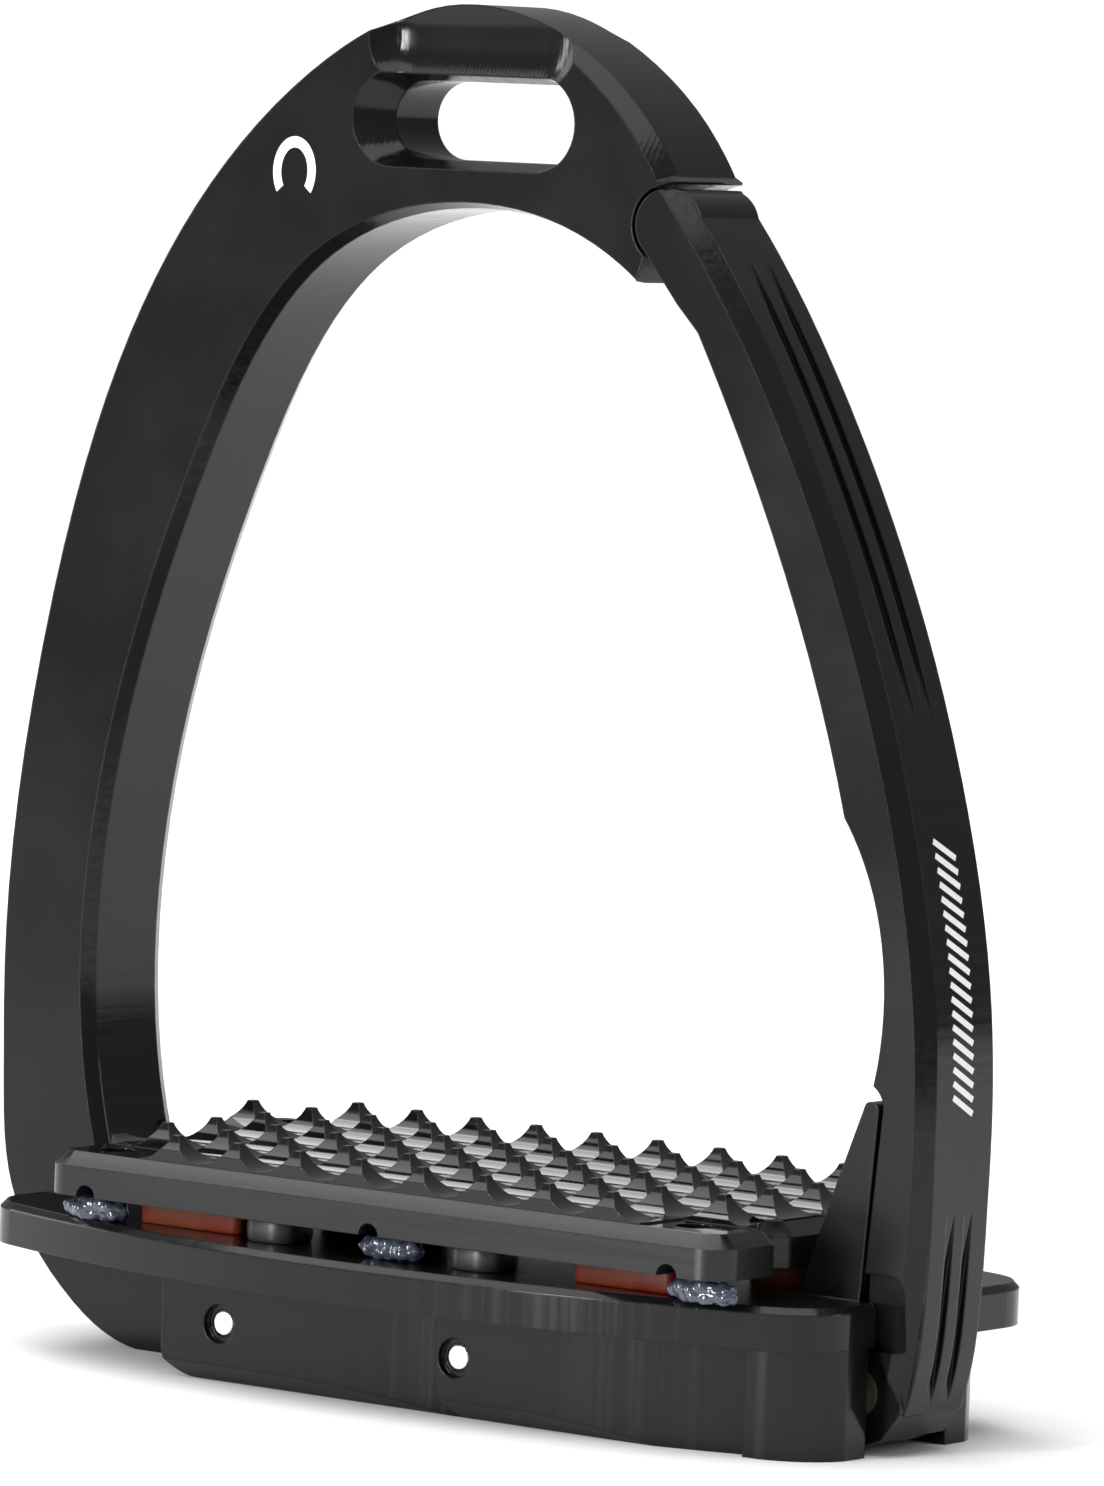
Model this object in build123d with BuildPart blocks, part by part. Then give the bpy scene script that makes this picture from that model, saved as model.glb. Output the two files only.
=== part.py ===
"""Safety-release stirrup iron, right foot.

The bow, the base plate, the housing under it and the upright fin are one milled billet. The bow's
outer side is a separate arm that turns on a pin in the base; a sprung plunger on a cam holds it
shut, with its round head in the bow's socket. The spiked tread floats on four soft dampers.

Frame: millimetres, +Z up, origin on the ground at the middle of the foot opening, +X towards the
release arm (the rider's outside), +Y to the rear.
"""
from build123d import *
import os
from math import cos, sin, pi, radians, hypot

os.makedirs("parts", exist_ok=True)

# ---------------------------------------------------------------- overall sizes
clear_width = 120.0        # foot opening, side to side, at its widest
height = 169.5             # ground to the top of the bow
frame_depth = 15.4         # front to back of bow and arm
edge_bevel = 1.9           # milled bevel along bow and arm

# the outline points of bow and arm are drawn at this size
drawn_width = 120.0
drawn_height = 169.5

# ---------------------------------------------------------------- head of the bow
slot_length = 30.0         # leather slot
slot_height = 9.6
mouth_length = 4.0         # how much longer and higher the slot's mouth is
mouth_rise = 2.2
mouth_depth = 3.5
scoop_radius = 8.0
scoop_depth = 2.4
shoulder_bevel = 1.9

# ---------------------------------------------------------------- base
housing_height = 13.1
plate_thickness = 5.2
plate_top = housing_height + plate_thickness
plate_half_depth = 31.0    # front edge, at the middle
plate_end_depth = 18.5     # front edge, at the two ends
plate_rear_depth = 36.5    # rear edge, at the middle
plate_rear_end = 27.0      # rear edge, at the two ends
plate_overhang = 8.4       # past the foot opening, leg side
plate_reach = 0.3          # past the foot opening, arm side
plate_edge = 0.8
plate_corner = 9.0
housing_half_depth = 23.0
housing_edge = 2.2
lobe_step = 2.2            # how far the middle lobe stands out at its left end
end_step = 5.5             # how far the housing has bowed back before its right-hand lobe
flat_reach = 8.5           # flat to the right of each retaining pin
corner_radius = 4.0
housing_left = -35.5
foot_beam_left = -52.0

# ---------------------------------------------------------------- release arm and its pivot
pivot_inset = 2.5          # pivot axis inside the foot opening's side
pivot_height = 7.4
pivot_pin_diameter = 4.0
bush_wall = 1.0
pin_clearance = 0.03       # radial, running fit
knuckle_radius = 5.3
knuckle_depth = 13.0
cam_rise = 1.5             # mm per radian
cam_sweep = 70.0           # degrees
knuckle_room = 2.6         # knuckle to the left wall of its room
cheek_gap = 0.6            # arm to the cheeks of the base
washer_gap = 0.1
washer_radius = 2.7
head_radius = 4.3
head_clearance = 0.45
arm_gap = 0.8              # arm to the fin

groove_width = 1.5
groove_spacing = 3.6
groove_depth = 0.8
groove_spans = ((0.07, 0.46), (0.84, 0.99))   # along the arm's outer curve

# ---------------------------------------------------------------- detent
follower_gap = 0.3
nose_radius = 2.0
nose_taper = 1.5
plunger_diameter = 6.0
detent_bore = 8.0
collar_length = 5.0
spring_length = 19.0
spring_wire = 0.9
spring_diameter = 6.6
spring_turns = 7
plug_length = 10.0
retaining_pin_diameter = 3.4
pin_left_x = -26.4
pin_right_x = 10.0
pin_recess = 0.8
pin_mouth_diameter = 4.8
slide_clearance = 0.05

# ---------------------------------------------------------------- tread
tread_gap = 3.0            # base plate to tread
flat_height = 5.4          # tread's underside to the screw flats
tread_height = 8.7         # tread's underside to the spike tips
spike_pitch = 9.5
spike_depth = 3.1
spike_tip = 1.0
tread_half_depth = 27.0
tread_bevel = 1.7
tread_corner = 3.6
notch_corner = 2.2
tread_travel = 1.2
notch_radius = 1.5
screw_shank = 2.5
screw_head = 4.0
screw_head_height = 2.0
key_radius = 1.1           # hexagon socket of the screws
key_depth = 1.1
screw_gap = 0.3
seat_gap = 0.05            # under the screw head at rest
screw_depth = 4.0
screw_seat = 2.2           # tread's underside to the seat of the screw head
notch_length = 6.0
bead_length = 9.5          # soft beads at the notches
bead_shifts = (-0.8, 1.2, 3.0)   # middle of each bead from its notch
bead_width = 3.4
bead_inset = 3.4           # middle of the beads behind the tread's front edge
damper_depth = 8.0
damper_inset = 9.2         # middle of the dampers inside the tread's front and rear edges
bead_height = 1.7
stop_side = 7.5            # square stops under the tread
stop_corner = 1.0
stop_inset = 6.0           # middle of the stops inside the tread's front and rear edges
stop_gap = 0.1             # left over the stops when the tread is pressed right down

half_width = clear_width / 2
half_frame = frame_depth / 2
pivot_x = half_width - pivot_inset
room_left = pivot_x - knuckle_radius - knuckle_room
tread_bottom = plate_top + tread_gap
plug_left = pin_left_x - plug_length / 2
pivot_pin_front = -housing_half_depth + 9.0
tread_top = tread_bottom + tread_height


def across(x):
    """Stretch a drawn x inside the opening to the clear width; outside it, keep the distance."""
    if abs(x) <= drawn_width / 2:
        return x * clear_width / drawn_width
    return x + (half_width - drawn_width / 2) * (1 if x > 0 else -1)


def rise(z):
    """Stretch a drawn z above the base plate to the height."""
    if z <= plate_top:
        return z
    return plate_top + (z - plate_top) * (height - plate_top) / (drawn_height - plate_top)


def drawn(*points):
    """Outline points of the front view, as (x, z) pairs."""
    return [(across(x), rise(z)) for x, z in points]


def about_pivot(radius, degrees):
    """A point of the front view, given round the arm's pivot."""
    return (pivot_x + radius * cos(radians(degrees)), pivot_height + radius * sin(radians(degrees)))


def front_plane(y):
    """Front view plane at depth y: local x is +X, local y is +Z, and it faces -Y."""
    return Plane(origin=(0, y, 0), x_dir=(1, 0, 0), z_dir=(0, -1, 0))


head_centre = drawn((23.2, 144.0))[0]
arm_top = drawn((24.6, 148.3))[0]
arm_outside = drawn((31.4, 139.9), (44.6, 118.4), (54.1, 98.2), (62.0, 74.3), (66.4, 50.2),
                    (66.8, 33.0), (66.3, 17.4), (65.3, 9.5), (63.9, 5.0))
bow_outside = drawn((foot_beam_left, 0.0), (-57.6, 1.7), (-64.0, 6.0), (-69.6, 11.8), (-73.8, 20.0),
                    (-75.3, 32.0), (-75.8, 48.0), (-70.8, 90.0), (-57.5, 130.0), (-32.5, 160.0),
                    (-7.5, 169.5), (10.0, 163.8), (23.6, 149.8))
bow_inside = drawn((-56.5, plate_top), (-61.2, 35.0), (-60.4, 70.0), (-47.9, 110.0),
                   (-28.4, 138.4), (-8.0, 144.8), (19.3, 136.9))
bow_face_inside = drawn((-57.5, plate_top), (-62.2, 35.0), (-61.4, 70.0), (-48.8, 110.5),
                        (-29.0, 139.4), (-8.0, 145.5), (19.3, 137.3))
shoulder_edge = drawn((4.0, 167.3), (10.0, 163.9), (17.4, 157.9), (23.7, 149.9))
shoulder_face = drawn((4.0, 165.9), (9.0, 162.7), (15.9, 156.9), (21.9, 149.2))


def cam_points(steps):
    """Edge of the cam: it moves the round plunger nose back by cam_rise per radian of swing."""
    reach = nose_radius + follower_gap
    points = []
    for step in range(steps + 1):
        swing = radians(cam_sweep) * step / steps
        radius = knuckle_radius + reach + cam_rise * swing
        along = hypot(radius, cam_rise)
        angle = pi + swing
        normal = ((radius * cos(angle) + cam_rise * sin(angle)) / along,
                  (radius * sin(angle) - cam_rise * cos(angle)) / along)
        points.append((pivot_x + radius * cos(angle) - reach * normal[0],
                       pivot_height + radius * sin(angle) - reach * normal[1]))
    return points


slot_left = across(58.7) - arm_gap
screw_places = [(across(-45.5), 6.5 - tread_half_depth), (across(43.0), 6.5 - tread_half_depth),
                (across(-52.3), tread_half_depth - 5.0), (across(43.0), tread_half_depth - 5.0)]

notch_places = [across(-45.1), across(-0.7), across(43.9)]

# ================================================================ bow, base, housing and fin
with BuildPart() as main_frame:
    # housing, with its lobes: each flat bows back to a step, and it is mirrored front to back
    lobe_start = pin_right_x - 2.6
    lobe_end = pivot_x - 7.7
    face_y = -housing_half_depth
    with BuildSketch():
        with BuildLine():
            flat_1 = Line((housing_left, 0), (housing_left, face_y))
            flat_2 = Line(flat_1 @ 1, (pin_left_x + flat_reach, face_y))
            bow_1 = ThreePointArc(flat_2 @ 1,
                                  ((pin_left_x + flat_reach + lobe_start) / 2, face_y + lobe_step / 4),
                                  (lobe_start, face_y + lobe_step))
            step = Line(bow_1 @ 1, (lobe_start, face_y))
            flat_3 = Line(step @ 1, (pin_right_x + flat_reach, face_y))
            bow_2 = ThreePointArc(flat_3 @ 1,
                                  ((pin_right_x + flat_reach + lobe_end) / 2, face_y + end_step / 4),
                                  (lobe_end, face_y + end_step))
            step_2 = Line(bow_2 @ 1, (lobe_end + 0.6, face_y + 3.7))
            lobe = ThreePointArc(step_2 @ 1, (pivot_x - 0.4, face_y + 5.8),
                                 (half_width + plate_reach, face_y + 10.5))
            Polyline(lobe @ 1, (half_width + plate_reach, 0), flat_1 @ 0)
        make_face()
        mirror(about=Plane.XZ)
    extrude(amount=housing_height)
    # straight bevel under the housing's front and rear faces
    with BuildSketch(Plane.YZ.offset(housing_left)):
        for side in (-1, 1):
            with BuildLine():
                Polyline((side * housing_half_depth, 0), (side * (housing_half_depth - housing_edge), 0),
                         (side * housing_half_depth, housing_edge), close=True)
            make_face()
    extrude(amount=clear_width, mode=Mode.SUBTRACT)
    # rounded lower left corners of the housing and of its middle lobe
    outside_beam = housing_half_depth - half_frame
    corner_inset = corner_radius * (1 - sin(pi / 4))
    for corner_x, corner_y, corner_depth in (
            (housing_left, -housing_half_depth, outside_beam),
            (housing_left, half_frame, outside_beam),
            (lobe_start, -housing_half_depth, lobe_step),
            (lobe_start, housing_half_depth - lobe_step, lobe_step)):
        with BuildSketch(front_plane(corner_y)):
            with BuildLine():
                Polyline((corner_x, corner_radius), (corner_x, 0), (corner_x + corner_radius, 0))
                ThreePointArc((corner_x + corner_radius, 0),
                              (corner_x + corner_inset, corner_inset),
                              (corner_x, corner_radius))
            make_face()
        extrude(amount=-corner_depth, mode=Mode.SUBTRACT)

    # base plate
    with BuildSketch(Plane.XY.offset(housing_height)) as plate_outline:
        plate_left = -half_width - plate_overhang
        plate_right = half_width + plate_reach
        with BuildLine():
            front = ThreePointArc((plate_left, -plate_end_depth),
                                  ((plate_left + plate_right) / 2, -plate_half_depth),
                                  (plate_right, -plate_end_depth))
            rear = ThreePointArc((plate_left, plate_rear_end),
                                 ((plate_left + plate_right) / 2, plate_rear_depth),
                                 (plate_right, plate_rear_end))
            Line(front @ 0, rear @ 0)
            Line(front @ 1, rear @ 1)
        make_face()
        fillet(plate_outline.vertices(), radius=plate_corner)
    extrude(amount=plate_thickness)
    chamfer(main_frame.faces().sort_by(Axis.Z)[-1].edges(), length=plate_edge)

    # bow: left leg and head
    with BuildSketch(front_plane(-half_frame)):
        with BuildLine():
            outside = Spline(*bow_outside)
            inside = Spline(*bow_inside)
            Polyline(outside @ 1, inside @ 1)
            Polyline(inside @ 0, (housing_left, plate_top), (housing_left, 0), outside @ 0)
        make_face()
    extrude(amount=-frame_depth)

    # tapering bevel round the inside of the bow, front and back
    for face_y, bevel_y in ((-half_frame, edge_bevel - half_frame),
                            (half_frame, half_frame - edge_bevel)):
        for line_points, y in ((bow_face_inside, face_y), (bow_inside, bevel_y)):
            with BuildSketch(front_plane(y)):
                with BuildLine():
                    edge_line = Spline(*line_points)
                    Polyline(edge_line @ 1, (half_width, plate_top), edge_line @ 0)
                make_face()
        loft(ruled=True, mode=Mode.SUBTRACT)

    # room for the arm's foot: through the housing, and a narrower slot through the plate
    with BuildSketch():
        with Locations((room_left, 0)):
            Rectangle(40, frame_depth + 2 * cheek_gap, align=(Align.MIN, Align.CENTER))
    extrude(amount=housing_height, mode=Mode.SUBTRACT)
    with BuildSketch(Plane.XY.offset(housing_height)):
        with Locations((slot_left, 0)):
            Rectangle(40, knuckle_depth + 2 * cheek_gap, align=(Align.MIN, Align.CENTER))
    extrude(amount=plate_thickness, mode=Mode.SUBTRACT)

    # fin beside the arm
    with BuildSketch(front_plane(-half_frame + 0.4)) as fin_side:
        with BuildLine():
            Polyline(*drawn((49.2, plate_top)), (slot_left, plate_top),
                     *[(x - arm_gap, z) for x, z in drawn((60.4, 41.8))],
                     *drawn((57.8, 42.2), (53.2, 30.0)), close=True)
        make_face()
        fillet(fin_side.vertices().sort_by(Axis.Y)[-2:], radius=0.8)
    extrude(amount=-(frame_depth - 0.8))

    # socket for the arm's head, and the way out of it
    socket_radius = head_radius + head_clearance
    exit_angle = radians(15)
    exit_length = 6
    with BuildSketch(front_plane(-half_frame)):
        with Locations(head_centre):
            SlotCenterPoint((exit_length / 2 * cos(exit_angle), exit_length / 2 * sin(exit_angle)),
                            (exit_length * cos(exit_angle), exit_length * sin(exit_angle)),
                            2 * socket_radius)
    extrude(amount=-frame_depth, mode=Mode.SUBTRACT)

    # leather slot with its hollowed mouth
    slot_centre, slot_mouth = drawn((-5.8, 155.3), (-7.8, 155.3))
    with BuildSketch(front_plane(-half_frame)):
        with Locations(slot_centre):
            SlotOverall(slot_length, slot_height)
    extrude(amount=-frame_depth, mode=Mode.SUBTRACT)
    for face_y, floor_y in ((-half_frame, mouth_depth - half_frame), (half_frame, half_frame - mouth_depth)):
        with BuildSketch(front_plane(face_y)):
            with Locations(slot_mouth):
                SlotOverall(slot_length + mouth_length, slot_height + mouth_rise)
        with BuildSketch(front_plane(floor_y)):
            with Locations(slot_centre):
                SlotOverall(slot_length, slot_height)
        loft(mode=Mode.SUBTRACT)

    # ball-milled scoop over the slot, round at both ends
    scoop_left, scoop_right = drawn((-17.0, 165.2), (3.3, 165.2))
    for side in (-1, 1):
        scoop_y = side * (half_frame + scoop_radius - scoop_depth)
        with BuildSketch(Plane.YZ.offset(scoop_left[0])):
            with Locations((scoop_y, scoop_left[1])):
                Circle(scoop_radius)
        extrude(amount=scoop_right[0] - scoop_left[0], mode=Mode.SUBTRACT)
        with Locations((scoop_left[0], scoop_y, scoop_left[1]), (scoop_right[0], scoop_y, scoop_right[1])):
            Sphere(scoop_radius, mode=Mode.SUBTRACT)

    # bevel along the right shoulder
    for face_y, bevel_y in ((-half_frame, shoulder_bevel - half_frame),
                            (half_frame, half_frame - shoulder_bevel)):
        for line_points, y in ((shoulder_face, face_y), (shoulder_edge, bevel_y)):
            with BuildSketch(front_plane(y)):
                with BuildLine():
                    edge_line = Spline(*line_points)
                    Polyline(edge_line @ 1, (half_width, rise(150.0)), (half_width, height + 20),
                             ((edge_line @ 0).X, height + 20), edge_line @ 0)
                make_face()
        loft(ruled=True, mode=Mode.SUBTRACT)

    # bores: detent, arm pivot (from the rear) and the two retaining pins
    with BuildSketch(Plane.YZ.offset(plug_left)):
        with Locations((0, pivot_height)):
            Circle(detent_bore / 2)
    extrude(amount=pivot_x - plug_left, mode=Mode.SUBTRACT)
    with BuildSketch(front_plane(pivot_pin_front)):
        with Locations((pivot_x, pivot_height)):
            Circle(pivot_pin_diameter / 2)
    extrude(amount=-plate_rear_depth - half_frame, mode=Mode.SUBTRACT)
    with BuildSketch(front_plane(-plate_half_depth)):
        with Locations((pin_left_x, pivot_height), (pin_right_x, pivot_height)):
            Circle(retaining_pin_diameter / 2)
    extrude(amount=-2 * plate_half_depth, mode=Mode.SUBTRACT)

    for face_y, depth in ((-housing_half_depth, -pin_recess), (housing_half_depth, pin_recess)):
        with BuildSketch(front_plane(face_y)):
            with Locations((pin_left_x, pivot_height), (pin_right_x, pivot_height)):
                Circle(pin_mouth_diameter / 2)
        extrude(amount=depth, mode=Mode.SUBTRACT)

    # screw holes for the tread, in the base plate
    with BuildSketch(Plane.XY.offset(plate_top)):
        with Locations(*screw_places):
            Circle(screw_shank / 2)
    extrude(amount=-screw_depth, mode=Mode.SUBTRACT)

# ================================================================ release arm
with BuildPart() as release_arm:
    # side of the arm, full depth
    with BuildSketch(front_plane(-half_frame)):
        with BuildLine():
            outside = Spline(arm_top, *arm_outside)
            inner_foot = Spline(outside @ 1, *drawn((63.1, 8.2), (60.8, 13.4)))
            behind_fin = Polyline(inner_foot @ 1, *drawn((58.9, 14.4), (58.7, 20.0), (60.5, 41.0)))
            shoulder = ThreePointArc(behind_fin @ 1, *drawn((60.1, 42.8), (58.9, 44.0)))
            scallop = Spline(shoulder @ 1, *drawn((59.9, 54.0), (58.2, 65.0), (53.1, 75.3)))
            inside = Spline(scallop @ 1, *drawn((45.0, 98.8), (34.0, 122.0), (28.8, 131.4)))
            Polyline(inside @ 1, *drawn((25.6, 134.6), (19.96, 141.2), (23.2, 144.0)), arm_top)
        make_face()
        with Locations(head_centre):
            Circle(head_radius)
    extrude(amount=-frame_depth)
    # bevel along the outer face, front and back
    stations = [step / 6 for step in range(7)]
    full = [outside @ t for t in stations]
    inset = [outside @ t + (outside % t).rotate(Axis.Z, -90) * edge_bevel for t in stations]
    for face_y, bevel_y in ((-half_frame, edge_bevel - half_frame), (half_frame, half_frame - edge_bevel)):
        for line_points, y in ((inset, face_y), (full, bevel_y)):
            with BuildSketch(front_plane(y)):
                with BuildLine():
                    edge_line = Spline(*[(point.X, point.Y) for point in line_points])
                    above = edge_line @ 0 - (edge_line % 0) * 10
                    below = edge_line @ 1 + (edge_line % 1) * 10
                    Polyline(edge_line @ 1, below, (2 * half_width, below.Y), (2 * half_width, height),
                             above, edge_line @ 0)
                make_face()
        loft(ruled=True, mode=Mode.SUBTRACT)

    # grooves in the outer face: each is the sliver between the face and a flatter arc
    for y in (-groove_spacing / 2, groove_spacing / 2):
        for start, end in groove_spans:
            with BuildSketch(front_plane(y - groove_width / 2)):
                with BuildLine():
                    first = outside @ start
                    last = outside @ end
                    middle = outside @ ((start + end) / 2)
                    inward = (outside % ((start + end) / 2)).rotate(Axis.Z, -90) * groove_depth
                    ThreePointArc(first, middle + inward, last)
                    ThreePointArc(first, middle - inward, last)
                make_face()
            extrude(amount=-groove_width, mode=Mode.SUBTRACT)

    # pockets in both faces that clear the ends of the base plate
    for y in (-half_frame, knuckle_depth / 2):
        with BuildSketch(front_plane(y)) as pocket:
            with Locations((across(64.4), housing_height - 0.4)):
                Rectangle(12, plate_thickness + 3.9, align=(Align.MAX, Align.MIN))
            fillet(pocket.vertices().group_by(Axis.X)[-1].sort_by(Axis.Y)[-1:], radius=2)
        extrude(amount=-(half_frame - knuckle_depth / 2), mode=Mode.SUBTRACT)

    # knuckle with its cam, narrower than the arm
    with BuildSketch(front_plane(-knuckle_depth / 2)):
        with BuildLine():
            barrel = ThreePointArc(about_pivot(knuckle_radius, 60), about_pivot(knuckle_radius, 112),
                                   about_pivot(knuckle_radius, 164))
            cam = Spline(barrel @ 1, *cam_points(8))
            Polyline(cam @ 1, *drawn((58.0, 0.8), (61.3, 2.0), (64.0, 5.6), (63.9, 9.0), (61.5, 13.4)),
                     barrel @ 0)
        make_face()
    extrude(amount=-knuckle_depth)
    with BuildSketch(front_plane(-half_frame)):
        with Locations((pivot_x, pivot_height)):
            Circle(pivot_pin_diameter / 2 + bush_wall)
    extrude(amount=-frame_depth, mode=Mode.SUBTRACT)

# ================================================================ pivot
with BuildPart() as pivot_pin:
    pin_rear = 12.6
    with BuildSketch(front_plane(pivot_pin_front)):
        with Locations((pivot_x, pivot_height)):
            Circle(pivot_pin_diameter / 2)
    extrude(amount=pivot_pin_front - pin_rear)
    chamfer(pivot_pin.edges().filter_by(GeomType.CIRCLE), length=0.4)

with BuildPart() as pivot_bush:
    with BuildSketch(front_plane(-knuckle_depth / 2)):
        with Locations((pivot_x, pivot_height)):
            Circle(pivot_pin_diameter / 2 + bush_wall)
            Circle(pivot_pin_diameter / 2 + pin_clearance, mode=Mode.SUBTRACT)
    extrude(amount=-knuckle_depth)

with BuildPart() as thrust_washers:
    for y in (-half_frame - cheek_gap, knuckle_depth / 2 + washer_gap):
        with BuildSketch(front_plane(y)):
            with Locations((pivot_x, pivot_height)):
                Circle(washer_radius)
                Circle(pivot_pin_diameter / 2, mode=Mode.SUBTRACT)
        extrude(amount=-(half_frame + cheek_gap - knuckle_depth / 2 - washer_gap))

# ================================================================ detent plunger and its spring
nose_centre_x = pivot_x - knuckle_radius - follower_gap - nose_radius
plunger_travel = cam_rise * radians(cam_sweep)
spring_end = plug_left + plug_length + spring_length
bush_left = pin_right_x + 18.0
collar_top = pivot_height + detent_bore / 2 - slide_clearance
stem_top = pivot_height + plunger_diameter / 2
bush_right = room_left

with BuildPart() as detent_plunger:
    with BuildSketch(Plane.XZ):
        with BuildLine():
            back = Line((spring_end, pivot_height), (spring_end, collar_top))
            collar = Line(back @ 1, (spring_end + collar_length, collar_top))
            neck = Line(collar @ 1, (spring_end + collar_length, stem_top))
            stem = Line(neck @ 1, (nose_centre_x - nose_taper, stem_top))
            taper = Line(stem @ 1, (nose_centre_x, pivot_height + nose_radius))
            nose = RadiusArc(taper @ 1, (nose_centre_x + nose_radius, pivot_height), nose_radius)
            Line(nose @ 1, back @ 0)
        make_face()
    revolve(axis=Axis((0, 0, pivot_height), (1, 0, 0)))
    # slot for the right retaining pin, which stops the plunger turning and falling out
    slot_half = retaining_pin_diameter / 2 + screw_gap
    with BuildSketch(front_plane(-detent_bore)):
        with Locations((pin_right_x + plunger_travel / 2, pivot_height)):
            SlotOverall(2 * slot_half + plunger_travel, 2 * slot_half)
    extrude(amount=-2 * detent_bore, mode=Mode.SUBTRACT)

with BuildPart() as plunger_bush:
    with BuildSketch(Plane.YZ.offset(bush_left)):
        with Locations((0, pivot_height)):
            Circle(detent_bore / 2)
            Circle(plunger_diameter / 2 + slide_clearance, mode=Mode.SUBTRACT)
    extrude(amount=bush_right - bush_left)

with BuildPart() as spring_plug:
    with BuildSketch(Plane.YZ.offset(plug_left)):
        with Locations((0, pivot_height)):
            Circle(detent_bore / 2)
    extrude(amount=plug_length)
    chamfer(spring_plug.edges().filter_by(GeomType.CIRCLE), length=0.5)
    with BuildSketch(front_plane(-detent_bore)):
        with Locations((pin_left_x, pivot_height)):
            Circle(retaining_pin_diameter / 2)
    extrude(amount=-2 * detent_bore, mode=Mode.SUBTRACT)

with BuildPart() as plunger_spring:
    coil_start = plug_left + plug_length + spring_wire / 2
    coil_length = spring_length - spring_wire
    coil_radius = (spring_diameter - spring_wire) / 2
    with BuildLine() as coil:
        Helix(pitch=coil_length / spring_turns, height=coil_length, radius=coil_radius,
              center=(coil_start, 0, pivot_height), direction=(1, 0, 0))
    with BuildSketch(Plane(origin=coil.line @ 0, z_dir=coil.line % 0)):
        Circle(spring_wire / 2)
    sweep(path=coil.line, is_frenet=True)

retaining_pins = {}
for pin_name, pin_x in (("retaining_pin_left", pin_left_x), ("retaining_pin_right", pin_right_x)):
    with BuildPart() as pin:
        with BuildSketch(front_plane(pin_recess - housing_half_depth)):
            with Locations((pin_x, pivot_height)):
                Circle(retaining_pin_diameter / 2)
        extrude(amount=-2 * (housing_half_depth - pin_recess))
        chamfer(pin.edges().filter_by(GeomType.CIRCLE), length=0.3)
    retaining_pins[pin_name] = pin

# ================================================================ tread
with BuildPart() as tread_plate:
    # plan of the plate: notched round the leg and the fin
    tread_plan = [(across(-52.0), -tread_half_depth), (across(51.5), -tread_half_depth),
                  (across(51.5), -15.5), (across(46.0), -12.0), (across(48.6), -8.5),
                  (across(48.6), 8.5), (across(46.0), 12.0), (across(51.0), 15.5),
                  (across(51.0), tread_half_depth), (across(-58.0), tread_half_depth),
                  (across(-58.0), 12.0), (across(-50.0), 8.5), (across(-50.0), -9.0),
                  (across(-52.0), -13.5)]
    with BuildSketch(Plane.XY.offset(tread_bottom)) as plan:
        with BuildLine():
            Polyline(*tread_plan, close=True)
        make_face()
        outer_corners = plan.vertices().group_by(Axis.Y)[0] + plan.vertices().group_by(Axis.Y)[-1]
        fillet(outer_corners, radius=tread_corner)
        fillet(plan.vertices().filter_by(lambda v: abs(v.Y) < 16), radius=notch_corner)
    extrude(amount=flat_height)
    top_face = tread_plate.faces().sort_by(Axis.Z)[-1]
    chamfer(top_face.edges(), length=tread_bevel)
    top_face = tread_plate.faces().sort_by(Axis.Z)[-1]
    extrude(top_face, amount=tread_height - flat_height)

    # spikes: round-bottomed grooves both ways leave four-sided points
    groove_half = (spike_pitch - spike_tip) / 2
    groove_radius = (groove_half ** 2 + spike_depth ** 2) / (2 * spike_depth)
    groove_z = tread_top - spike_depth + groove_radius
    columns = int(across(60.0) // spike_pitch)
    for column in range(-columns, columns + 1):
        with BuildSketch(Plane.XZ.offset(-2 * tread_half_depth)):
            with Locations((column * spike_pitch, groove_z)):
                Circle(groove_radius)
        extrude(amount=4 * tread_half_depth, mode=Mode.SUBTRACT)
    rows = int(tread_half_depth // spike_pitch) + 1
    for row in range(-rows, rows + 1):
        with BuildSketch(Plane.YZ.offset(-clear_width)):
            with Locations((row * spike_pitch, groove_z)):
                Circle(groove_radius)
        extrude(amount=2 * clear_width, mode=Mode.SUBTRACT)

    # screw flats at the corners, and the screws' stepped holes
    for x, y in screw_places:
        flat_shift = 6 if x > 0 else -4
        flat_length = 21 if x > 0 else 23
        flat_depth = 17 if x > 0 else 19
        with BuildSketch(Plane.XY.offset(tread_bottom + flat_height)):
            with Locations((x + flat_shift, y + (5 if y > 0 else -5))):
                Rectangle(flat_length, flat_depth)
        extrude(amount=tread_height, mode=Mode.SUBTRACT)
    with BuildSketch(Plane.XY.offset(tread_bottom + screw_seat)):
        with Locations(*screw_places):
            Circle(screw_head / 2 + screw_gap)
    extrude(amount=tread_height, mode=Mode.SUBTRACT)
    with BuildSketch(Plane.XY.offset(tread_bottom)):
        with Locations(*screw_places):
            Circle(screw_shank / 2 + screw_gap)
    extrude(amount=tread_height, mode=Mode.SUBTRACT)

    # half-round notches across the underside
    for x in notch_places:
        with BuildSketch(front_plane(-tread_half_depth)):
            with Locations((x, tread_bottom)):
                Circle(notch_radius)
        extrude(amount=-notch_length, mode=Mode.SUBTRACT)

with BuildPart() as tread_screws:
    with BuildSketch(Plane.XY.offset(plate_top - screw_depth)):
        with Locations(*screw_places):
            Circle(screw_shank / 2)
    extrude(amount=screw_depth + tread_gap + screw_seat + seat_gap)
    with BuildSketch(Plane.XY.offset(tread_bottom + screw_seat + seat_gap)):
        with Locations(*screw_places):
            Circle(screw_head / 2)
    extrude(amount=screw_head_height)
    with BuildSketch(Plane.XY.offset(tread_bottom + screw_seat + screw_head_height + seat_gap)):
        with Locations(*screw_places):
            RegularPolygon(radius=key_radius, side_count=6)
    extrude(amount=-key_depth, mode=Mode.SUBTRACT)

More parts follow.
